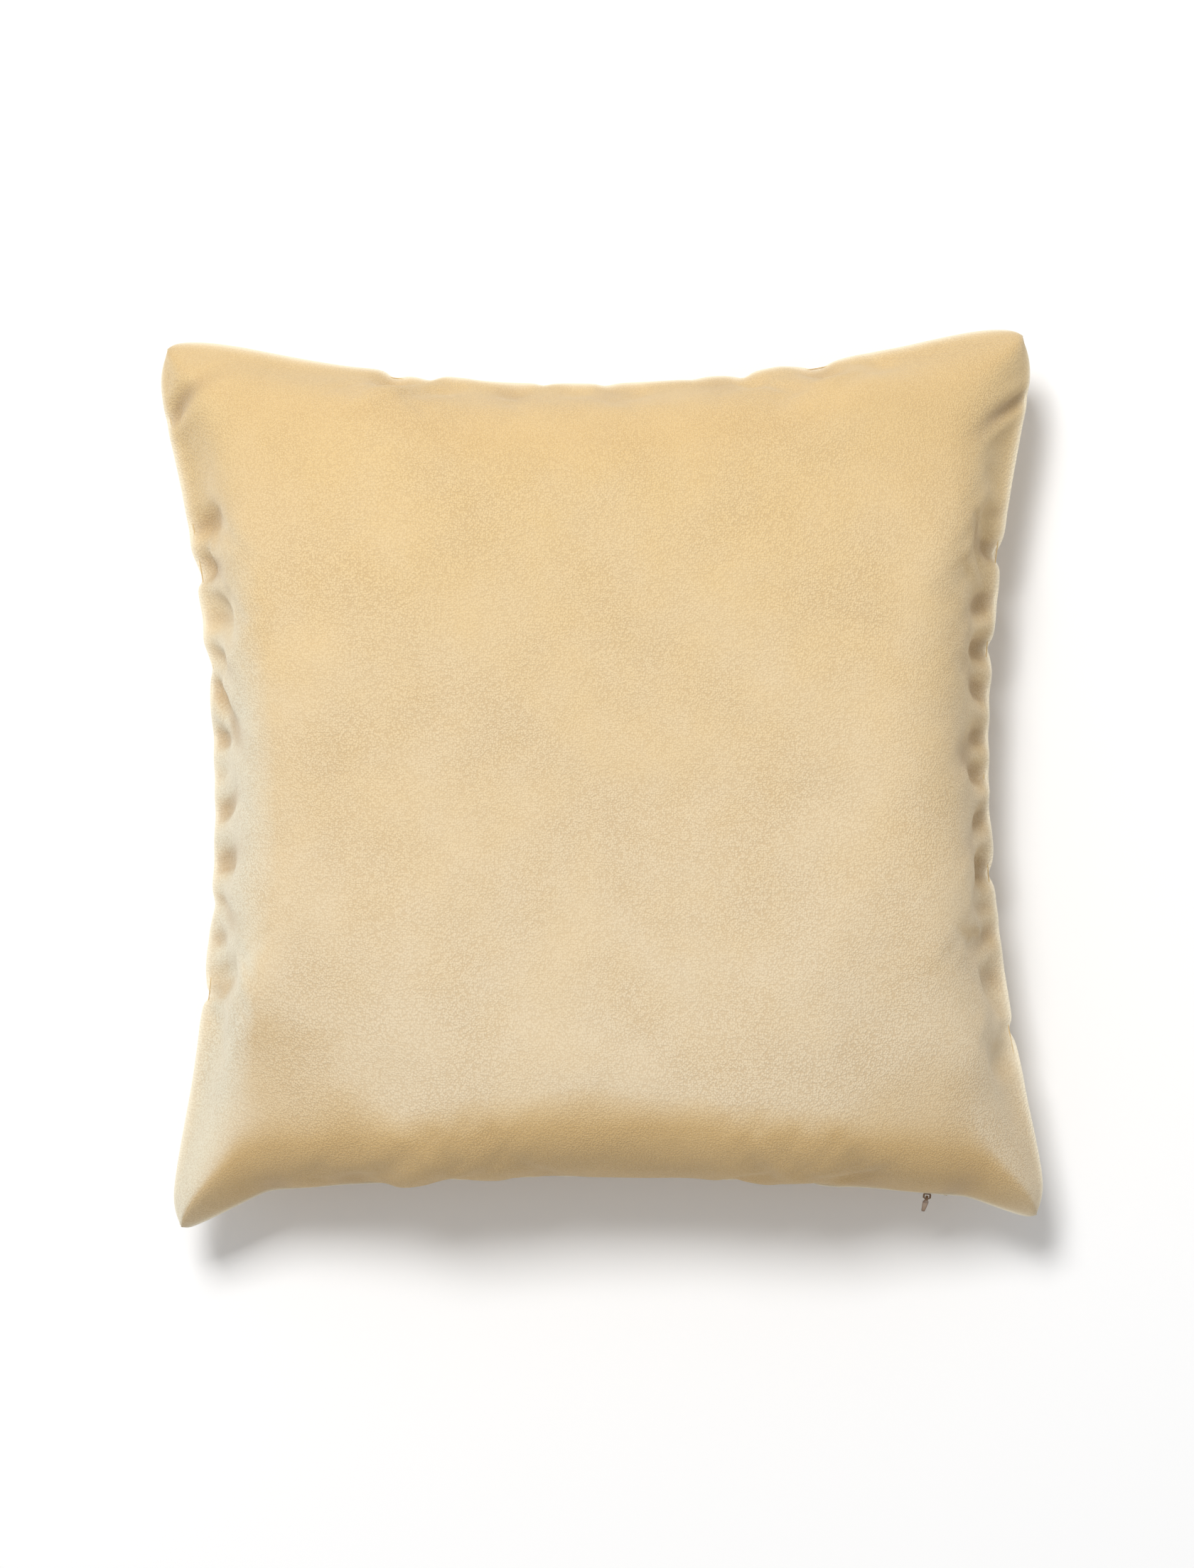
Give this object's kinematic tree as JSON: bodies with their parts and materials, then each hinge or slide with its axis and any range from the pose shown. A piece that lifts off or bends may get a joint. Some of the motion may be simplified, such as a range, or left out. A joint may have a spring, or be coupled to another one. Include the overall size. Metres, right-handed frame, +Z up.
{
  "type": "throw pillow",
  "caption": "Square knife-edge velvet cushion cover with a concealed zip in one seam, stuffed with a separate sewn insert, lying on its back.",
  "frame": {"origin": "on the surface the cushion rests on, under the middle of the cover", "axes": "+Z up through the crown of the front panel, X along the zip, the zip in the -Y seam"},
  "size_m": [0.512, 0.5217, 0.1459],
  "materials": {
    "velvet": "matte",
    "sewing_thread": "satin",
    "binding_thread": "matte",
    "label_satin": "satin",
    "casing_cloth": "matte",
    "fibre_filling": "matte",
    "casing_thread": "matte",
    "zip_tape": "matte",
    "zip_coil": "satin",
    "stop_metal": "satin",
    "slider_enamel": "satin"
  },
  "bodies": {
    "cushion": {"front_panel": "velvet", "back_panel": "velvet", "seam_thread": "sewing_thread", "front_edge_binding": "binding_thread", "back_edge_binding": "binding_thread", "care_label": "label_satin", "insert_front_casing": "casing_cloth", "insert_back_casing": "casing_cloth", "insert_filling": "fibre_filling", "insert_seam_thread": "casing_thread", "insert_closing_stitches": "casing_thread", "zip_tape_front": "zip_tape", "zip_tape_back": "zip_tape", "zip_coil_front": "zip_coil", "zip_coil_back": "zip_coil", "zip_top_stop_front": "stop_metal", "zip_top_stop_back": "stop_metal", "zip_stitches_front": "sewing_thread", "zip_stitches_back": "sewing_thread", "zip_bottom_stop": "stop_metal", "zip_bar_tack_right": "sewing_thread", "zip_bar_tack_left": "sewing_thread"},
    "slider": {"slider_body": "slider_enamel"},
    "pull": {"pull_tab": "slider_enamel"}
  },
  "joints": [
    {"name": "zip_travel", "type": "hinge", "parent": "cushion", "child": "slider", "pos_m": [-0.044, -2.1875, 0.062], "axis": [0, 0, 1], "range_deg": [0, 10.58]},
    {"name": "pull_swing", "type": "hinge", "parent": "slider", "child": "pull", "pos_m": [0.18716, -0.24909, 0.062], "axis": [0.993, -0.1184, 0], "range_deg": [-140, 20]}
  ]
}
